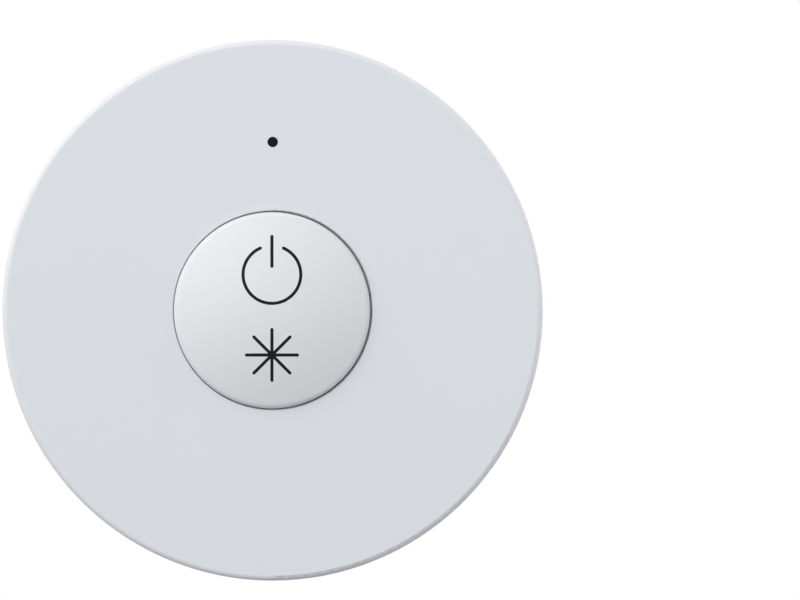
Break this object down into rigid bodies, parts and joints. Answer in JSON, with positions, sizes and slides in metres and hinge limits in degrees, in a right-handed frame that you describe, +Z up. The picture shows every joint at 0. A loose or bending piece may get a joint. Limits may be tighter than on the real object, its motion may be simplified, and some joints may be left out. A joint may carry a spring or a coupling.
{
  "type": "wireless wall switch",
  "caption": "Round battery wall switch: a flat disc with a domed centre button marked for power and dimming, held by magnets on a small screwed or stuck wall plate.",
  "frame": {"origin": "centre of the wall plate's back face, on the wall", "axes": "+Y into the wall, so the button faces -Y; +Z up; +X to the right for someone facing the switch"},
  "size_m": [0.07, 0.0152, 0.07],
  "materials": {
    "cover_plastic": "fine satin, cool white",
    "button_plastic": "smooth satin, cool white",
    "symbol_plastic": "dark blue-grey, flush with the dome",
    "lens_plastic": "smoked, nearly black",
    "rear_plastic": "fine spark texture",
    "plate_plastic": "fine spark texture",
    "keeper_steel": "zinc plated",
    "foam": "closed foam",
    "magnet_nickel": "nickel plated",
    "screw_steel": "zinc plated",
    "board_laminate": "green solder mask",
    "chip_epoxy": "moulded epoxy",
    "can_metal": "satin",
    "antenna_ceramic": "fired",
    "passive_ceramic": "fired, tinned ends",
    "capacitor_resin": "moulded",
    "led_resin": "clear over a white base",
    "switch_plastic": "moulded",
    "lid_steel": "stamped",
    "lead_metal": "tinned",
    "plunger_plastic": "moulded",
    "spring_steel": "drawn wire",
    "contact_metal": "nickel plated",
    "cell_steel": "bright stamped steel"
  },
  "bodies": {
    "wall_plate": {"wall_plate": "plate_plastic", "keeper_ring": "keeper_steel", "adhesive_pads": "foam"},
    "switch": {"front_cover": "cover_plastic", "indicator_lens": "lens_plastic", "rear_shell": "rear_plastic", "magnets": "magnet_nickel", "housing_screws": "screw_steel", "board_screws": "screw_steel", "circuit_board": "board_laminate", "radio_chip": "chip_epoxy", "crystal": "can_metal", "chip_antenna": "antenna_ceramic", "board_passives": "passive_ceramic", "bulk_capacitor": "capacitor_resin", "indicator_led": "led_resin", "tact_switch_body": "switch_plastic", "pairing_switch_body": "switch_plastic", "tact_switch_lid": "lid_steel", "pairing_switch_lid": "lid_steel", "tact_switch_leads": "lead_metal", "pairing_switch_leads": "lead_metal", "button_spring": "spring_steel", "negative_contact": "contact_metal", "positive_contacts": "contact_metal", "coin_cell": "cell_steel"},
    "push_button": {"push_button": "button_plastic", "power_symbol": "symbol_plastic", "dimmer_symbol": "symbol_plastic"},
    "tact_plunger": {"tact_plunger": "plunger_plastic"},
    "battery_door": {"battery_door": "rear_plastic"},
    "pairing_plunger": {"pairing_plunger": "plunger_plastic"}
  },
  "joints": [
    {"name": "lift_off", "type": "slide", "parent": "wall_plate", "child": "switch", "axis": [0, -1, 0], "range_m": [0, 0.02]},
    {"name": "button_press", "type": "slide", "parent": "switch", "child": "push_button", "axis": [0, 1, 0], "range_m": [0, 0.0004], "stiffness_N_per_m": 4000, "deforming": ["button_spring"]},
    {"name": "plunger_press", "type": "slide", "parent": "switch", "child": "tact_plunger", "axis": [0, 1, 0], "range_m": [0, 0.0004]},
    {"name": "door_turn", "type": "hinge", "parent": "switch", "child": "battery_door", "pos_m": [0, 0, 0], "axis": [0, 1, 0], "range_deg": [0, 30]},
    {"name": "pairing_press", "type": "slide", "parent": "switch", "child": "pairing_plunger", "axis": [0, -1, 0], "range_m": [0, 0.00025], "stiffness_N_per_m": 4000}
  ],
  "couplings": [
    {"joint": "plunger_press", "follows": "button_press", "ratio": 1}
  ]
}
